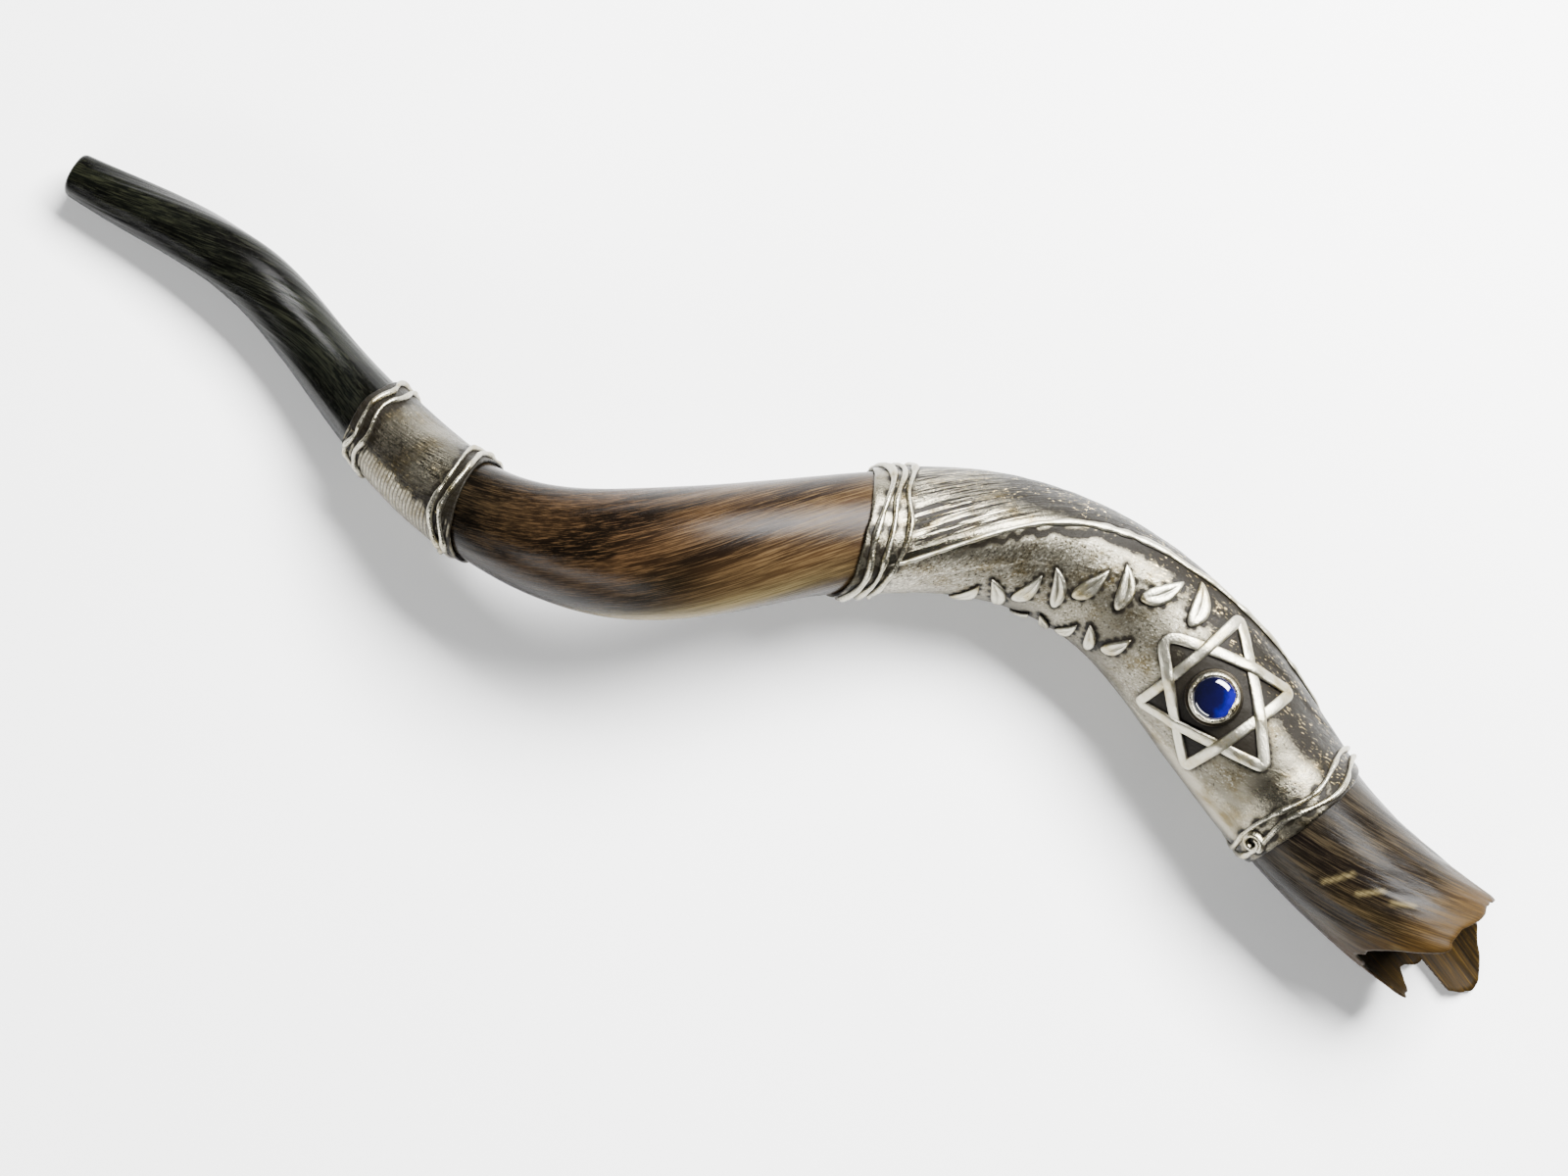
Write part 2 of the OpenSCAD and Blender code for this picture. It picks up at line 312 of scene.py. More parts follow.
def polished_horn():
    # Kudu keratin, scraped and buffed with wax: a dark skin whose lengthwise fibres show as fine
    # streaks, black at the mouth, brown in the middle and dry towards the broken bell.
    material, tree, shader = surface("polished_kudu_horn")
    grain = add(tree, "Attribute", attribute_name="grain").outputs["Vector"]
    station = add(tree, "SeparateXYZ", {0: grain}).outputs[0]
    place = reach(tree, station, 0, 620)
    deep = ramp(tree, place, [(0.0, "#020202"), (0.23, "#030302"), (0.33, "#040302"), (0.42, "#080503"),
                              (0.52, "#120a05"), (0.85, "#070504"), (0.93, "#0c0805"), (1.0, "#241807")])
    warm = ramp(tree, place, [(0.0, "#060705"), (0.23, "#060706"), (0.33, "#0b0805"), (0.42, "#1c1209"),
                              (0.52, "#291c0f"), (0.85, "#0d0a06"), (0.93, "#130e06"), (1.0, "#261a08")])
    light = ramp(tree, place, [(0.0, "#181910"), (0.23, "#171812"), (0.33, "#241c11"), (0.42, "#3c2b1a"),
                               (0.52, "#4a3b25"), (0.85, "#2b251b"), (0.93, "#382d1b"), (1.0, "#4a3614")])
    patch = pattern(tree, (48, 12), 3.0)
    # Real fibres are about 0.2 mm wide. These are drawn at 0.45 mm so that they show.
    fibre = pattern(tree, (16, 0.45), 4.0, 0.7)
    colour = blend(tree, reach(tree, patch, 0.4, 0.62), deep, warm)
    streak = reach(tree, maths(tree, "ADD", maths(tree, "MULTIPLY", patch, 0.3), fibre), 0.64, 0.8)
    colour = blend(tree, streak, colour, light)
    # Painted reflection of the floor: a paler olive sheen down the -Y side
    colour = blend(tree, maths(tree, "MULTIPLY", mask(tree, "tan"), reach(tree, fibre, 0.36, 0.6)),
                   colour, paint("#2b2517"))
    colour = blend(tree, maths(tree, "MULTIPLY", mask(tree, "cream"), reach(tree, fibre, 0.3, 0.5)),
                   colour, paint("#796c4a"))
    colour = blend(tree, maths(tree, "MULTIPLY", mask(tree, "dry"), reach(tree, fibre, 0.3, 0.55)),
                   colour, paint("#35250b"))
    tree.links.new(colour, shader.inputs["Base Color"])
    rough = reach(tree, fibre, 0.3, 0.75, 0.2, 0.38)
    rough = maths(tree, "SUBTRACT", rough, reach(tree, station, 150, 330, 0.1, 0.0))
    rough = maths(tree, "ADD", rough, maths(tree, "MULTIPLY", mask(tree, "dry"), 0.3))
    tree.links.new(rough, shader.inputs["Roughness"])
    bump = add(tree, "Bump", {"Height": fibre, "Strength": 0.35, "Distance": 0.00025})
    tree.links.new(bump.outputs["Normal"], shader.inputs["Normal"])
    shader.inputs["IOR"].default_value = 1.54
    shader.inputs["Specular IOR Level"].default_value = 0.065
    return material


def raw_horn():
    # The inside of the horn, never polished: ochre, fibrous and dull. Down the bore it turns near black,
    # which is painted shade.
    material, tree, shader = surface("raw_horn_inside")
    grain = add(tree, "Attribute", attribute_name="grain").outputs["Vector"]
    station = add(tree, "SeparateXYZ", {0: grain}).outputs[0]
    fibre = pattern(tree, (22, 1.1), 5.0, 0.6)
    light = ramp(tree, fibre, [(0.3, "#0e0903"), (0.55, "#251a07"), (0.75, "#463410")])
    # Painted shade: near black deeper down the bore
    colour = blend(tree, reach(tree, station, 592, 530), light, paint("#070502"))
    tree.links.new(colour, shader.inputs["Base Color"])
    tree.links.new(reach(tree, fibre, 0.3, 0.7, 0.5, 0.7), shader.inputs["Roughness"])
    bump = add(tree, "Bump", {"Height": fibre, "Strength": 0.5, "Distance": 0.0006})
    tree.links.new(bump.outputs["Normal"], shader.inputs["Normal"])
    shader.inputs["IOR"].default_value = 1.54
    shader.inputs["Specular IOR Level"].default_value = 0.065
    return material


def silver(name, bright, warm, dark, smooth, chased=False):
    """Silver that was worked, oxidised and rubbed back: bright where it stands proud. Its dark oxide mask
    also carries painted shade, and the warm flecks on the chased sheet are painted glints.
    """
    material, tree, shader = surface(name)
    cloud = pattern(tree, (9, 7), 5.0, 0.6)
    speck = pattern(tree, (1.1, 0.9), 4.0, 0.7)
    colour = blend(tree, reach(tree, cloud, 0.48, 0.72), paint(bright), paint(warm))
    # Dark oxide, with painted shade where a sleeve's mask adds it
    oxide_and_shade = maths(tree, "MULTIPLY", mask(tree, "tarnish_and_shade"), reach(tree, speck, 0.2, 0.6, 0.6, 1.1))
    rough = reach(tree, speck, 0.3, 0.7, smooth, smooth + 0.14)
    height = maths(tree, "ADD", maths(tree, "MULTIPLY", cloud, 0.5), maths(tree, "MULTIPLY", speck, 0.5))
    if chased:
        # The hatching's lines are about 0.4 mm apart. They are drawn at 0.65 mm so that they show.
        line = pattern(tree, (24, 0.65), 3.0, 0.6)
        cut = maths(tree, "MULTIPLY", mask(tree, "hatch"), reach(tree, line, 0.55, 0.44))
        pit = maths(tree, "MULTIPLY", mask(tree, "matt"), reach(tree, speck, 0.47, 0.38))
        rubbed = maths(tree, "MULTIPLY", mask(tree, "matt"), reach(tree, speck, 0.55, 0.66))
        colour = blend(tree, rubbed, colour, paint("#bdb9a9"))
        oxide_and_shade = maths(tree, "MAXIMUM", oxide_and_shade, maths(tree, "MULTIPLY", cut, 0.85))
        oxide_and_shade = maths(tree, "MAXIMUM", oxide_and_shade, maths(tree, "MULTIPLY", pit, 0.7))
        height = maths(tree, "SUBTRACT", height, maths(tree, "MULTIPLY", cut, 0.9))
        rough = maths(tree, "ADD", rough, maths(tree, "MULTIPLY", mask(tree, "matt"), 0.17))
        # Painted glints: flecks of warm, bright metal in the oxide
        fleck = pattern(tree, (1.9, 0.7), 3.0)
        wear_and_glints = maths(tree, "MULTIPLY", mask(tree, "wear_and_glints"), reach(tree, fleck, 0.58, 0.66))
        wear_and_glints = maths(tree, "MULTIPLY", wear_and_glints, reach(tree, cloud, 0.4, 0.55))
        oxide_and_shade = maths(tree, "MULTIPLY", oxide_and_shade, maths(tree, "SUBTRACT", 1.0, wear_and_glints))
        colour = blend(tree, wear_and_glints, colour, paint("#cbb684"))
    colour = blend(tree, reach(tree, oxide_and_shade, 0.0, 0.75), colour, paint(dark))
    tree.links.new(colour, shader.inputs["Base Color"])
    rough = maths(tree, "ADD", rough, maths(tree, "MULTIPLY", oxide_and_shade, 0.2))
    tree.links.new(rough, shader.inputs["Roughness"])
    bump = add(tree, "Bump", {"Height": height, "Strength": 0.65, "Distance": 0.0007})
    tree.links.new(bump.outputs["Normal"], shader.inputs["Normal"])
    # The oxide is a dull film and not a metal, so it takes the shine off with the colour
    tree.links.new(reach(tree, oxide_and_shade, 0.45, 0.9, 1.0, 0.1), shader.inputs["Metallic"])
    shader.inputs["Specular IOR Level"].default_value = 0.1
    return material


def setting_pitch():
    # Setting pitch: a black-brown resin that dries dull and slightly lumpy.
    material, tree, shader = surface("setting_pitch")
    lump = pattern(tree, (3, 3), 3.0)
    tree.links.new(ramp(tree, lump, [(0.3, "#0b0805"), (0.7, "#20170d")]), shader.inputs["Base Color"])
    bump = add(tree, "Bump", {"Height": lump, "Strength": 0.5, "Distance": 0.0004})
    tree.links.new(bump.outputs["Normal"], shader.inputs["Normal"])
    shader.inputs["Roughness"].default_value = 0.7
    return material


def cobalt_glass():
    # Cobalt glass, cast as a cabochon and fire polished: near black where it is deep, and a clear
    # blue on the side away from the lamp, where the light gathers. Its gloss is wet and sharp.
    material, tree, shader = surface("cobalt_glass")
    grain = add(tree, "Attribute", attribute_name="grain").outputs["Vector"]
    side = add(tree, "SeparateXYZ", {0: grain}).outputs[0]
    middle = STONE_AT - MID_X
    cloud = pattern(tree, (4, 4), 2.0)
    depth = maths(tree, "ADD", reach(tree, side, middle - STONE_R, middle + STONE_R),
                  maths(tree, "MULTIPLY", cloud, 0.5))
    colour = ramp(tree, depth, [(0.3, "#01010f"), (0.75, "#030122"), (1.0, "#0a045a")])
    tree.links.new(colour, shader.inputs["Base Color"])
    tree.links.new(reach(tree, cloud, 0.3, 0.7, 0.03, 0.07), shader.inputs["Roughness"])
    shader.inputs["IOR"].default_value = 1.52
    shader.inputs["Coat Weight"].default_value = 1.0
    shader.inputs["Coat Roughness"].default_value = 0.03
    return material


def paper_floor():
    # A roll of white background paper: matt and faintly mottled.
    material, tree, shader = surface("white_paper_roll")
    place = add(tree, "TexCoord").outputs["Object"]
    mottle = add(tree, "TexNoise", {"Vector": place, "Scale": 3.0, "Detail": 2.0}).outputs["Fac"]
    tree.links.new(ramp(tree, mottle, [(0.3, "#f6f6f5"), (0.7, "#fafafa")]), shader.inputs["Base Color"])
    shader.inputs["Roughness"].default_value = 0.85
    return material


HORN_SKIN = polished_horn()
HORN_INSIDE = raw_horn()
SHEET_SILVER = silver("chased_silver_sheet", "#7a7566", "#564b2f", "#120f09", 0.12, chased=True)
WIRE_SILVER = silver("drawn_silver_wire", "#9d998a", "#776a45", "#120e08", 0.2)
RELIEF_SILVER = silver("raised_silver", "#a6a292", "#857954", "#120e08", 0.26)
DARK_SILVER = silver("oxidised_silver", "#37332b", "#2a2318", "#0f0c07", 0.3)
PITCH = setting_pitch()
GLASS = cobalt_glass()


# ---------------------------------------------------------------- horn
HORN_COLS = 184
HORN_STEP = 1.5
JAG_START = 536
OUTSIDE_LIP_ROWS = 52
INSIDE_LIP_ROWS = 40
CAVITY_ROWS = 70
# Smooth stretches that the sleeves cover, and the fade at their ends
COVERED = ((144, 208), (320, 532))
COVER_FADE = 4
# Scratches that bare the pale horn near the bell: (station, angle) at each end. They lie scattered,
# and each slants less than the one before.
SCRATCHES = [((546 + 11 * k, 62 + 13 * (k % 3)), (551 + 12 * k, 84 + 13 * (k % 3) - 6 * k))
             for k in range(4)]
SCRATCH_W = 0.8


def lip(a):
    """Station of the broken lip for each angle. It breaks off short of its crack."""
    torn = 0.6 * uneven(0, a, 10, 30, 61) + 0.5 * uneven(0, a, 10, 74, 62)
    return HORN_LENGTH + bumps((a - LIP_CRACK) % 360 + LIP_CRACK - 360, LIP_CHIPS) + torn


def horn_relief(s, turn):
    """Height of fibre bundles and flakes over the smooth horn."""
    bare = 1 - sum(within(s, span, COVER_FADE) for span in COVERED)
    bundles = 0.1 * uneven(s, turn, 60, 34, 11) + 0.05 * uneven(s, turn, 26, 80, 12)
    flakes = 0.3 * uneven(s, turn, 24, 46, 13) + 0.16 * uneven(s, turn, 9, 80, 14)
    flakes = flakes * ease((s - 535) / 40)
    # A worn shoulder near the mouth
    shoulder = 0.5 * crest(turn + 66, 14) * ease((118 - s) / 50)
    return bare * (bundles + flakes) + shoulder


def scratch(s, a, start, end):
    """How far a scratch from one station and angle to another bares the horn."""
    degree = BELL_R * math.pi / 180
    run = np.array([end[0] - start[0], (end[1] - start[1]) * degree])
    u, v = s - start[0], (a % 360 - start[1]) * degree
    along = np.clip((u * run[0] + v * run[1]) / (run @ run), 0, 1)
    off = np.hypot(u - along * run[0], v - along * run[1])
    return 0.4 * np.exp(-(off / SCRATCH_W) ** 2)


def make_horn():
    turn = np.arange(HORN_COLS) * 360 / HORN_COLS
    lip_at = lip(turn + keel_angle(float(HORN_LENGTH)))
    rows = []
    # Cup, rounded face, then along the outside, over the lip, back down the cavity and the throat
    for depth in np.linspace(CUP_DEPTH, 0, 7):
        rows.append((depth, THROAT_R + (CUP_R - THROAT_R) * (1 - depth / CUP_DEPTH) ** 1.6, 1))
    for t in np.radians(np.linspace(0, 90, 7)):
        pulled_in = MOUTH_EDGE_ROUND * (1 - math.sin(t))
        rows.append((MOUTH_EDGE_LONG * (1 - math.cos(t)), MOUTH_R - pulled_in, 0))
    station, radius, inside = [], [], []
    for s, r, inner in rows:
        station.append(np.full(HORN_COLS, s))
        keeled = 1 if inner else outer_r(s, turn + keel_angle(s)) / MOUTH_R
        radius.append(np.full(HORN_COLS, r) * keeled)
        inside.append(inner)
    for s in np.arange(3, JAG_START, HORN_STEP):
        station.append(np.full(HORN_COLS, s))
        radius.append(outer_r(s, turn + keel_angle(s)) + horn_relief(s, turn) * ease((s - 2) / 8))
        inside.append(0)
    for k in np.linspace(0, 1, OUTSIDE_LIP_ROWS):
        s = JAG_START + (lip_at - JAG_START) * k
        rounded = 0.5 * ease((k - 0.97) / 0.03)
        station.append(s)
        radius.append(outer_r(s, turn + keel_angle(s)) + horn_relief(s, turn) - rounded)
        inside.append(0)
    for k in np.linspace(1, 0, INSIDE_LIP_ROWS):
        s = JAG_START + (lip_at - JAG_START) * k
        wall = HORN_WALL + (LIP_EDGE - HORN_WALL) * ease(k)
        fibres = 0.18 * uneven(s, turn, 14, 60, 15)
        station.append(s)
        radius.append(outer_r(s, turn + keel_angle(s)) - wall + fibres)
        inside.append(1)
    for s in np.linspace(JAG_START - 6, THROAT_LENGTH, CAVITY_ROWS):
        t = ease((s - THROAT_LENGTH) / CAVITY_OPENS)
        station.append(np.full(HORN_COLS, s))
        radius.append((THROAT_R + 0.4) * (1 - t) + (outer_r(s, turn + keel_angle(s)) - HORN_WALL) * t)
        inside.append(1)
    for s in np.linspace(THROAT_LENGTH, CUP_DEPTH + 1, 8):
        station.append(np.full(HORN_COLS, s))
        radius.append(np.full(HORN_COLS, THROAT_R))
        inside.append(1)
    station, radius = np.array(station), np.array(radius)
    angle = turn + keel_angle(station)
    points = at_radius(station, angle, radius)
    shape = skin(points[::-1], loop_rows=True)
    grain = grain_of(station, turn, mean_r(station))[::-1]
    side = np.cos(np.radians(angle))
    # The keel's pale edge between the sleeves, the olive sheen of the -Y side, which is a painted
    # reflection of the floor, and the dry broken end
    edge = crest(turn - 4, 55) * bumps(station, [(268, 1, 78)])
    tan = ease((side - 0.05) / 0.8) * bumps(station, [(290, 0.45, 110)])
    dry = ease((station - (lip_at - 26)) / 26) * 0.75
    for start, end in SCRATCHES:
        edge = edge + scratch(station, angle, start, end)
    masks = {"cream": np.clip(edge, 0, 1)[::-1], "tan": tan[::-1], "dry": dry[::-1]}
    inside = np.array(inside)[::-1]
    # A face takes its row's finish: polished outside, raw inside
    rows_raw = np.repeat(np.maximum(inside, np.roll(inside, -1)), HORN_COLS)
    return piece("horn_body", "horn", [HORN_SKIN, HORN_INSIDE], shape, grain, masks,
                 rows_raw.astype(np.int32))


# ---------------------------------------------------------------- silver sleeves
SLEEVE_COLS = 260
# Stations where the ground is punched down, and where a groove undercuts the keel
GROUND_SPAN = (342, 514)
UNDERCUT_SPAN = (350, 505)


def rim(span, end, turn):
    """Station of a sleeve's rim, which was snipped by eye and then worn."""
    a = turn + keel_angle(float(span[end]))
    wear_and_glints = 0.8 * uneven(0, turn, 10, 9, 21 + end) + 0.3 * uneven(0, turn, 10, 31, 23 + end)
    return leaning(float(span[end]), a) + wear_and_glints


def shell(span, step, low, high, relief, inset=0.0):
    """Closed shell over a span of the horn. Returns points, stations and turns."""
    turn = np.arange(SLEEVE_COLS) * 360 / SLEEVE_COLS
    first, last = rim(span, 0, turn) + inset, rim(span, 1, turn) - inset
    count = int((span[1] - span[0]) / step)
    there = [first + (last - first) * k for k in np.linspace(0, 1, count)]
    # The inside needs only a sixth of the outside's rings
    back = there[::-1][::6]
    stations = np.array(there + back)
    height = np.array([high + relief(s, turn) for s in there] + [np.full(SLEEVE_COLS, low)] * len(back))
    height[0] = height[count - 1] = (low + high) / 2
    return over(stations, turn + keel_angle(stations), height), stations, turn


def sunk_ground(s, turn):
    """1 where the ground is punched down round the relief, 0 on the smooth band and above the keel."""
    t = wrap_turn(turn)
    edge = -24 - bumps(s, [(405, 10, 80)]) + 2.5 * uneven(s, 0 * turn, 9, 5, 36)
    return ease((edge - t) / 4) * ease((160 + t) / 10) * within(s, GROUND_SPAN, 5)


def bell_relief(s, turn):
    """The bell sleeve's height: beaten all over, sunk ground, hatching, and a groove below the keel."""
    t, ground = wrap_turn(turn), sunk_ground(s, turn)
    hammered = 0.16 * uneven(s, turn, 6, 24, 31) + 0.09 * uneven(s, turn, 2.2, 74, 32)
    dents = 0.12 * uneven(s, turn, 16, 12, 33)
    cuts = 0.13 * uneven(s, turn, 11, 88, 37) + 0.06 * uneven(s, turn, 7, 126, 38)
    undercut = -0.35 * crest(t + 7, 260) * within(s, UNDERCUT_SPAN, 20)
    beaten = hammered * (0.3 + 0.7 * ground)
    return -0.45 * ground + beaten + dents + bell_hatch(s, turn) * cuts + undercut


def front_side(s, turn):
    """1 on the bright band down the front sleeve's -Y side, whose edge is ragged."""
    ragged = 0.1 * uneven(s, turn, 3, 5, 42)
    return ease((np.cos(np.radians(turn + keel_angle(s))) + ragged - 0.42) / 0.12)


def front_marks(s, turn):
    """Crosswise tool marks on the bright band, from -1 in a groove to 1 between two."""
    return np.sin(s * 2 * math.pi / 1.6 + uneven(s, turn, 9, 12, 39)) * front_side(s, turn)


def front_relief(s, turn):
    """The front sleeve's height: beaten, with tool marks on its band and a torn edge to the band."""
    side = front_side(s, turn)
    marks = 0.18 * front_marks(s, turn)
    beaten = 0.35 * side * (1 - side) * 4 * uneven(s, turn, 1.6, 80, 43)
    return 0.16 * uneven(s, turn, 9, 14, 34) + 0.06 * uneven(s, turn, 3, 50, 35) + marks + beaten


def front_tone(s, turn):
    """Tarnish of the front sleeve with painted shade on its top, its mattness, and painted glints, most
    along the band's edge.
    """
    side = front_side(s, turn)
    # The top is darker: tarnish with painted shade. The -Y band is left bright.
    dirt_and_shade = (0.6 + 0.2 * uneven(s, turn, 12, 9, 44)) * (1 - side) + 0.5 * ease(-front_marks(s, turn) / 0.8)
    return dirt_and_shade, 0.7 * side, np.maximum(4 * side * (1 - side), 0.25 * (1 - side))


def inside_star(s, turn):
    """1 inside either of the star's triangles, where the oxide is left on."""
    u = (s - STONE_AT) / 0.95
    v = wrap_turn(turn + keel_angle(s) - STONE_ANGLE) * mean_r(s) * math.pi / 180
    inside = 0 * u
    for start in (0, 60):
        out = [u * math.cos(math.radians(start + 120 * k)) + v * math.sin(math.radians(start + 120 * k))
               for k in range(3)]
        inside = np.maximum(inside, ease((STAR_R / 2 - np.max(out, 0)) / 0.8 + 0.5))
    return inside


def bell_tone(s, turn):
    """Tarnish of the bell sleeve with painted shade, its mattness, and its darkened flank, which takes
    painted glints.
    """
    t, ground = wrap_turn(turn), sunk_ground(s, turn)
    around = np.hypot(s - STONE_AT, wrap_turn(turn + keel_angle(s) - STONE_ANGLE) * 0.45)
    a = (turn + keel_angle(s)) % 360
    # A dark line under the ridge: oxide in its groove, with painted shadow
    under_ridge = crest(t + 7 + 3 * uneven(s, 0 * turn, 2.5, 5, 45), 330) * ease((s - 345) / 20)
    # The flank on the +Y side and round under the sleeve is darker: painted shade laid over its oxide.
    # Painted glints are laid on it too.
    shaded_flank = ease((a - 104) / 30) * ease((310 - a) / 40) * ease((s - 345) / 36)
    dirt_and_shade = 0.3 * ground + 0.4 * ease((15 - around) / 3) + 0.95 * under_ridge
    dirt_and_shade = dirt_and_shade + 0.5 * inside_star(s, turn) + 0.9 * shaded_flank
    matt = ease((-1 - t) / 5) * ease((160 + t) / 10)
    matt = matt * (1 - 0.8 * ease((s - 500) / 10)) * (1 - 0.7 * shaded_flank)
    return dirt_and_shade, matt, shaded_flank


def nearness(points, marks, width):
    """1 beside a mark and 0 away from it."""
    flat = points.reshape(-1, 3)
    nearest = np.full(len(flat), 1e9)
    for start in range(0, len(marks), 50):
        gap = np.linalg.norm(flat[:, None] - marks[None, start:start + 50], axis=-1)
        nearest = np.minimum(nearest, gap.min(1))
    return np.exp(-(nearest / width) ** 2).reshape(points.shape[:-1])


def make_sleeve(name, span, step, relief, tone, hatch, wires, relief_marks=None):
    """A sleeve's sheet, dark along its wires and raised work, and the pitch under it."""
    points, stations, turn = shell(span, step, BEDDING, SHEET, relief)
    ends = np.minimum(stations - span[0], span[1] - stations)
    dirt_and_shade, matt, wear_and_glints = tone(stations, turn)
    dirt_and_shade = dirt_and_shade + 0.35 * np.exp(-np.clip(ends - 3, 0, 99) / 5) + 0.9 * nearness(points, wires, 1.5)
    dirt_and_shade = dirt_and_shade + 0.25 * uneven(stations, turn, 22, 7, 41)
    if relief_marks is not None:
        dirt_and_shade = dirt_and_shade + 0.85 * nearness(points, relief_marks, 1.4)
    masks = {"tarnish_and_shade": np.clip(dirt_and_shade, 0, 1), "hatch": hatch(stations, turn), "matt": matt, "wear_and_glints": wear_and_glints}
    piece(name + "_sheet", name, [SHEET_SILVER], skin(points[::-1], loop_rows=True),
          grain_of(stations, turn, mean_r(stations))[::-1], {k: v[::-1] for k, v in masks.items()})
    bed, bed_at, turn = shell(span, 4, 0.05, BEDDING - 0.02, lambda s, t: 0 * t, inset=0.8)
    piece(name + "_pitch", name + "_bedding", [PITCH], skin(bed[::-1], loop_rows=True),
          grain_of(bed_at, turn, mean_r(bed_at))[::-1])


def bell_hatch(s, turn):
    t = wrap_turn(turn)
    return ease((t - 5) / 6) * ease((172 - t) / 12) * ease((s - 336) / 6) * ease((520 - s) / 30)


def front_hatch(s, turn):
    return 0.3 * (1 - front_side(s, turn))


# ---------------------------------------------------------------- wires and ridge
WIRE_STEPS = 220
WIRE_SIDES = 12


def tube(s, a, base, width, height):
    """Stations, angles, side steps and heights of a half-round wire along a path on the sleeve."""
    section = np.radians(np.linspace(-20, 200, WIRE_SIDES))
    s, a = s[:, None], a[:, None]
    width, height = np.reshape(width, (-1, 1)), np.reshape(height, (-1, 1))
    return s, a, np.cos(section) * width / 2, base + np.maximum(np.sin(section), -0.05) * height


def wire_tarnish(height):
    return (1 - ease((height - SHEET) / (WIRE_W * 0.45))).ravel()


def wavy_wire(s0, waves, sway, seed):
    """A hand-drawn wire round a sleeve. Returns its shape, grain and tarnish."""
    turn = np.arange(WIRE_STEPS) * 360 / WIRE_STEPS
    wave = sway * np.sin(np.radians(waves * turn + 57 * seed)) + 1.1 * uneven(0, turn, 10, 11, seed)
    a = -turn
    girth = WIRE_W * (1 + 0.3 * uneven(0, turn, 10, 34, seed + 5))
    s, a, side, height = tube(leaning(s0, a) + wave, a, SHEET - 0.1, girth, girth * 0.85)
    grain = grain_of(s + side, a + 0 * side, mean_r(s + side))
    return skin(over(s + side, a, height), loop_rows=True), grain, wire_tarnish(height)


def eye(s0, a0):
    """The end of a wire, bent round on the sleeve into a small eye."""
    turn = np.radians(np.linspace(0, 470, 80))
    out = 3.3 - 1.5 * turn / turn[-1]
    places = np.stack([out * np.cos(turn), out * np.sin(turn)], -1)
    run = unit(np.gradient(places, axis=0))
    across = np.stack([run[:, 1], -run[:, 0]], -1)
    section = np.radians(np.linspace(-20, 200, WIRE_SIDES))
    spot = places[:, None] + across[:, None] * (np.cos(section) * WIRE_W / 2)[None, :, None]
    s, a = s0 + spot[..., 0], a0 + np.degrees(spot[..., 1] / mean_r(s0))
    height = SHEET + 0.1 + np.maximum(np.sin(section), -0.05) * WIRE_W + 0 * s
    return skin(over(s, a, height), caps=True), grain_of(s, a, mean_r(s)), wire_tarnish(height)


def make_wires(name, wires, extra=()):
    """One piece from a sleeve end's wires. Returns points along them."""
    made = [wavy_wire(*wire) for wire in wires] + list(extra)
    piece(name + "_set", name, [WIRE_SILVER], join([m[0] for m in made]),
          np.concatenate([m[1].reshape(-1, 3) for m in made]),
          {"tarnish_and_shade": np.concatenate([m[2] for m in made])})
    return np.concatenate([m[0][0][::11] for m in made])


def make_ridge():
    """The lumpy moulding soldered along the keel, thin where it starts and broad past the bend."""
    s = np.linspace(*RIDGE_SPAN, 300)
    fade = ease((s - RIDGE_SPAN[0] + 2) / 8) * ease((RIDGE_SPAN[1] - s + 2) / 14)
    broad = 1.7 + 1.3 * ease((s - 370) / 50)
    lumpy = 1 + 0.25 * uneven(s, 0 * s, 3.5, 5, 51)
    side_step = np.radians(np.linspace(-10, 190, WIRE_SIDES))
    width = (broad * lumpy * (0.3 + 0.7 * fade))[:, None]
    spread = np.cos(side_step) * width / 2 / mean_r(s)[:, None] * 180 / math.pi
    wander = 1.2 * uneven(s, 0 * s, 9, 5, 52)[:, None]
    height = SHEET - 0.1 + np.maximum(np.sin(side_step), 0) * 1.3 * (lumpy * fade)[:, None]
    a = keel_angle(s)[:, None] + spread + wander
    points = over(s[:, None] + 0 * a, a, height)
    grain = grain_of(s[:, None], a, mean_r(s)[:, None])
    low = 1 - ease((height - SHEET) / 0.7)
    piece("keel_moulding", "bell_sleeve_ridge", [RELIEF_SILVER],
          skin(points, caps=True), grain, {"tarnish_and_shade": low})


# ---------------------------------------------------------------- star
def on_sleeve(u, v, h):
    """A flat drawing round the stone, bent onto the sleeve: u runs along it and v round it."""
    s = STONE_AT + u * 0.95
    return s, STONE_ANGLE + v / mean_r(s) * 180 / math.pi, SHEET - 0.3 + h


def crossing(t):
    """Weave of a side: over its neighbour a third of the way along, and under two thirds along."""
    return bumps(t, [(1 / 3, 1, 0.15)]) - bumps(t, [(2 / 3, 1, 0.15)])


def star_path(turn, round_off):
    """Round a triangle: points, directions across, and the weave's level at each."""
    ways = np.radians(turn + 120 * np.arange(3))
    corners = STAR_R * np.stack([np.cos(ways), np.sin(ways)], -1)
    places, levels = [], []
    for k in range(3):
        p, q = corners[k], corners[(k + 1) % 3]
        length = np.linalg.norm(q - p)
        first, last = round_off[k] / length, 1 - round_off[(k + 1) % 3] / length
        for t in np.linspace(first, last, 60):
            places.append(p + (q - p) * t)
            levels.append(float(crossing(np.array(t))))
        after = corners[(k + 2) % 3]
        start, end = places[-1], q + (after - q) * round_off[(k + 1) % 3] / length
        for t in np.linspace(0, 1, 12)[1:-1]:
            places.append(start * (1 - t) ** 2 + 2 * q * t * (1 - t) + end * t ** 2)
            levels.append(0.0)
    places = np.array(places)
    run = unit(np.roll(places, -1, 0) - np.roll(places, 1, 0))
    return places, np.stack([run[:, 1], -run[:, 0]], -1), np.array(levels)


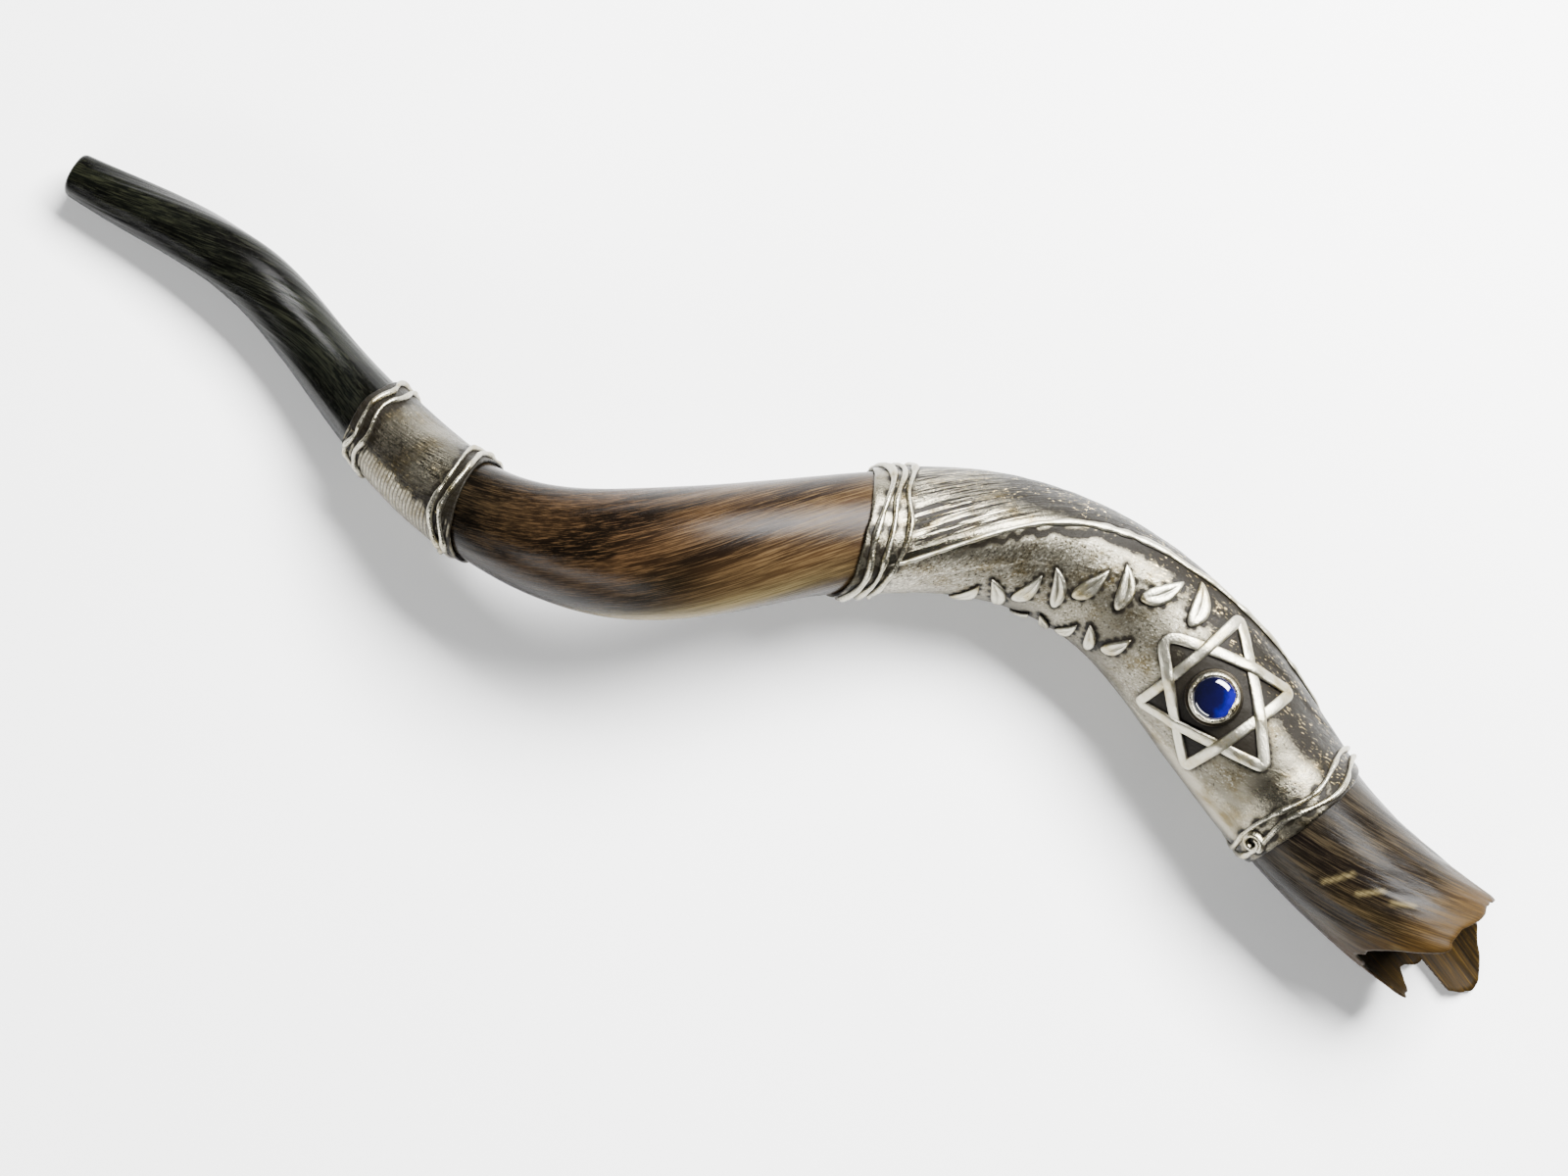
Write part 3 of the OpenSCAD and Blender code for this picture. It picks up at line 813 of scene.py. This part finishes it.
def make_triangle(name, turn, round_off):
    """One of the star's strips, woven over and under the other. Returns points along it."""
    places, across, level = star_path(turn, round_off)
    section = np.radians(np.linspace(180, 0, WIRE_SIDES))
    side = (np.sign(np.cos(section)) * np.abs(np.cos(section)) ** 0.7 * STRIP_W / 2)[None, :]
    lift = 0.75 * np.maximum(level, 0) - 0.45 * np.maximum(-level, 0)
    wobble = 0.12 * uneven(np.arange(len(level)), 0 * level, 6, 5, 71)
    height = np.maximum(np.sin(section) ** 0.6 * (1.35 + lift + wobble)[:, None], 0.0)
    spot = places[:, None] + across[:, None] * side[..., None]
    s, a, h = on_sleeve(spot[..., 0], spot[..., 1], height)
    points = over(s, a, h)
    low = 1 - ease((height - 0.3) / 0.8)
    piece(name + "_strip", name, [RELIEF_SILVER], skin(points, loop_rows=True),
          grain_of(s, a, mean_r(s)), {"tarnish_and_shade": low})
    return points.reshape(-1, 3)[::9]


# ---------------------------------------------------------------- leaves
LEAF_SIDES = 36
LEAF_RINGS = ((1.0, 0.0), (0.98, 0.45), (0.9, 0.8), (0.72, 1.0), (0.45, 1.02), (0.2, 0.95), (0.04, 0.85))
LEAF_SUNK = 0.35
LEAF_RAISE = 1.35
LEAF_TURNS = (62, 118)
# A row's first and last place as (station, angle), its count of leaves and half their length
UPPER_ROW = ((366, 18), (449, 124), 8, 8.5)
LOWER_ROW = ((394, 0), (438, 48), 5, 7)


def leaf(s, a, turn, size):
    """One raised leaf: a bent, pointed oval with a vein down its middle. Returns its shape, grain,
    tarnish and outline."""
    ring = np.radians(np.arange(LEAF_SIDES) * 360 / LEAF_SIDES)
    u = size * np.cos(ring)
    v = 0.4 * size * np.sin(ring) * (1 - 0.4 * np.cos(ring)) * np.abs(np.sin(ring)) ** 0.25
    ct, st = math.cos(math.radians(turn)), math.sin(math.radians(turn))
    rows = []
    for grow, rise in LEAF_RINGS:
        x, y = u * grow, v * grow
        vein = 0.28 * np.exp(-(y / 0.5) ** 2) * ease((0.85 - grow) / 0.3)
        y = y + 0.2 * x ** 2 / size
        rows.append(np.stack([x * ct - y * st, x * st + y * ct, LEAF_H * rise - vein], -1))
    rows = np.array(rows)[:, ::-1]
    station = s + rows[..., 0]
    angle = a + rows[..., 1] / mean_r(station) * 180 / math.pi
    points = over(station, angle, SHEET - LEAF_SUNK + rows[..., 2] * LEAF_RAISE)
    grain = grain_of(station, angle, mean_r(station))[::-1]
    low = 1 - ease((rows[..., 2] - 0.25) / 0.6)
    return skin(points[::-1], caps=True), grain, low[::-1].ravel(), points[0]


def make_leaf_row(name, row):
    """A row of leaves that lean to and fro. Returns points round them."""
    start, end, count, size = row
    made = []
    for k in range(count):
        t = k / (count - 1)
        s, a = start[0] + (end[0] - start[0]) * t, start[1] + (end[1] - start[1]) * t
        made.append(leaf(s, a, LEAF_TURNS[k % 2], size))
    piece(name + "_leaves", name, [RELIEF_SILVER], join([m[0] for m in made]),
          np.concatenate([m[1].reshape(-1, 3) for m in made]),
          {"tarnish_and_shade": np.concatenate([m[2] for m in made])})
    return np.concatenate([m[3][::3] for m in made])


# ---------------------------------------------------------------- stone
def stone_frame():
    """Middle of the stone's place on the sleeve, and the directions out, along and across."""
    base = over(float(STONE_AT), float(STONE_ANGLE), SHEET)
    out = outward(np.array(float(STONE_AT)), np.array(float(STONE_ANGLE)))
    along = unit(spine(STONE_AT + 1.0) - spine(STONE_AT - 1.0))
    return base, out, along, np.cross(out, along)


def turned(profile, sides, wobble=None):
    """A round piece on the stone's axis, from (radius, height) pairs."""
    base, out, along, across = stone_frame()
    ring = np.radians(np.arange(sides) * 360 / sides)
    rows = []
    for k, (r, h) in enumerate(profile):
        grow, rise = wobble(k, ring) if wobble else (0 * ring, 0 * ring)
        spread = (r + grow)[:, None]
        rows.append(base + spread * (np.cos(ring)[:, None] * along + np.sin(ring)[:, None] * across)
                    + (h + rise)[:, None] * out)
    return np.array(rows)


def make_stone():
    """The seat, the crimped bezel that laps the stone on one side, and the stone."""
    seat = turned([(STONE_R + 2.6, -2.4), (STONE_R + 2.6, SEAT_H - 0.3), (STONE_R + 2.3, SEAT_H),
                   (STONE_R + 1.0, SEAT_H + 0.02), (0.4, SEAT_H)], 96)
    piece("stone_seat_disc", "stone_seat", [DARK_SILVER], skin(seat, caps=True),
          seat.reshape(-1, 3), {"tarnish_and_shade": np.full(seat.shape[:2], 0.4)})

    def crimped(k, ring):
        press = 0.3 * np.sin(ring * 7 + 1) + 0.25 * np.sin(ring * 11) + 0.2 * np.sin(ring * 17 + 2)
        lap = crest(np.degrees(ring) - 24, 14)
        return (0.5 * press - 1.9 * lap if k in (3, 4) else 0 * ring), \
            (0.3 * press + 0.9 * lap if k in (2, 3, 4) else 0 * ring)
    r = STONE_R
    top = SEAT_H + BEZEL_H
    bezel = turned([(r + 1.5, SEAT_H - 0.1), (r + 1.4, SEAT_H + 1.2), (r + 0.9, top), (r + 0.1, top + 0.1),
                    (r - 0.4, top - 0.3), (r - 0.1, SEAT_H)], 120, crimped)
    height = np.array([0.0, 0.5, 1.0, 1.0, 0.6, 0.0])[:, None] + np.zeros(bezel.shape[:2])
    piece("stone_bezel_ring", "stone_bezel", [WIRE_SILVER], skin(bezel, loop_rows=True),
          bezel.reshape(-1, 3), {"tarnish_and_shade": 1 - height})
    dome = [(r - 0.15, SEAT_H + 0.05), (r - 0.12, SEAT_H + 1.4)]
    for t in np.radians(np.linspace(12, 88, 16)):
        dome.append(((r - 0.12) * math.cos(t), SEAT_H + 1.4 + 2.9 * math.sin(t)))
    stone = turned(dome, 96)
    piece("stone_cabochon", "stone", [GLASS], skin(stone, caps=True), stone.reshape(-1, 3))


# ---------------------------------------------------------------- build
make_horn()
relief_marks = np.concatenate([
    make_triangle("star_triangle_a", 60, (3.0, 8.0, 3.0)),
    make_triangle("star_triangle_b", 0, (3.0, 3.0, 3.0)),
    make_leaf_row("leaf_row_upper", UPPER_ROW),
    make_leaf_row("leaf_row_lower", LOWER_ROW)])
# A wire is its station, its count of waves, their height and a seed
front_start, front_end = FRONT_SPAN
bell_start, bell_end = BELL_SPAN
front_wires = np.concatenate([
    make_wires("front_sleeve_mouth_wires", [(front_start + 3.6, 5, 1.0, 1), (front_start + 8, 5, 1.0, 2)]),
    make_wires("front_sleeve_bell_wires", [(front_end - 8, 4, 1.0, 3), (front_end - 3.6, 4, 1.0, 4)])])
bell_wires = np.concatenate([
    make_wires("bell_sleeve_mouth_wires", [(bell_start + 4 + 4 * k, 4, 1.2, 5 + k) for k in range(3)]),
    make_wires("bell_sleeve_bell_wires", [(bell_end - 9 + 4.8 * k, 4, 1.6, 9 + k) for k in range(2)],
               [eye(bell_end - 6, 40)])])
make_sleeve("bell_sleeve", BELL_SPAN, 0.8, bell_relief, bell_tone, bell_hatch, bell_wires, relief_marks)
make_sleeve("front_sleeve", FRONT_SPAN, 0.3, front_relief, front_tone, front_hatch, front_wires)
make_ridge()
make_stone()


# ---------------------------------------------------------------- floor, light and camera
FLOOR_HALF = 6.0


def make_floor():
    mesh = bpy.data.meshes.new("paper_floor")
    corners = [(x * FLOOR_HALF, y * FLOOR_HALF, 0) for x, y in ((-1, -1), (1, -1), (1, 1), (-1, 1))]
    mesh.from_pydata(corners, [], [(0, 1, 2, 3)])
    mesh.materials.append(paper_floor())
    floor = bpy.data.objects.new("paper_floor", mesh)
    bpy.context.scene.collection.objects.link(floor)


def softbox(name, place, size, power):
    """A rectangular white light that faces the horn's middle."""
    light = bpy.data.lights.new(name, "AREA")
    light.shape = "RECTANGLE"
    light.size, light.size_y = size
    light.energy = power
    made = bpy.data.objects.new(name, light)
    made.location = place
    x, y, z = place
    made.rotation_euler = (math.atan2(math.hypot(x, y), z), 0, math.atan2(y, x) + math.pi / 2)
    bpy.context.scene.collection.objects.link(made)


make_floor()
softbox("key_softbox", (0.25, 1.1, 1.2), (1.1, 0.7), 240)
softbox("low_reflector", (-0.15, -1.15, 0.6), (1.2, 0.25), 20)
world = bpy.data.worlds.new("studio_air")
world.use_nodes = True
air = world.node_tree.nodes["Background"]
air.inputs["Color"].default_value = paint("#d5dade")
air.inputs["Strength"].default_value = 0.17
bpy.context.scene.world = world

# The camera looks straight down, turned so that the horn runs from upper left to lower right
CAMERA_HEIGHT = 1.181
lens = bpy.data.cameras.new("overhead_camera")
lens.lens, lens.sensor_width = 70, 36
camera = bpy.data.objects.new("overhead_camera", lens)
camera.location = (0.0036, -0.0174, CAMERA_HEIGHT)
camera.rotation_euler = (0, 0, math.radians(29.7))
bpy.context.scene.collection.objects.link(camera)
bpy.context.scene.camera = camera
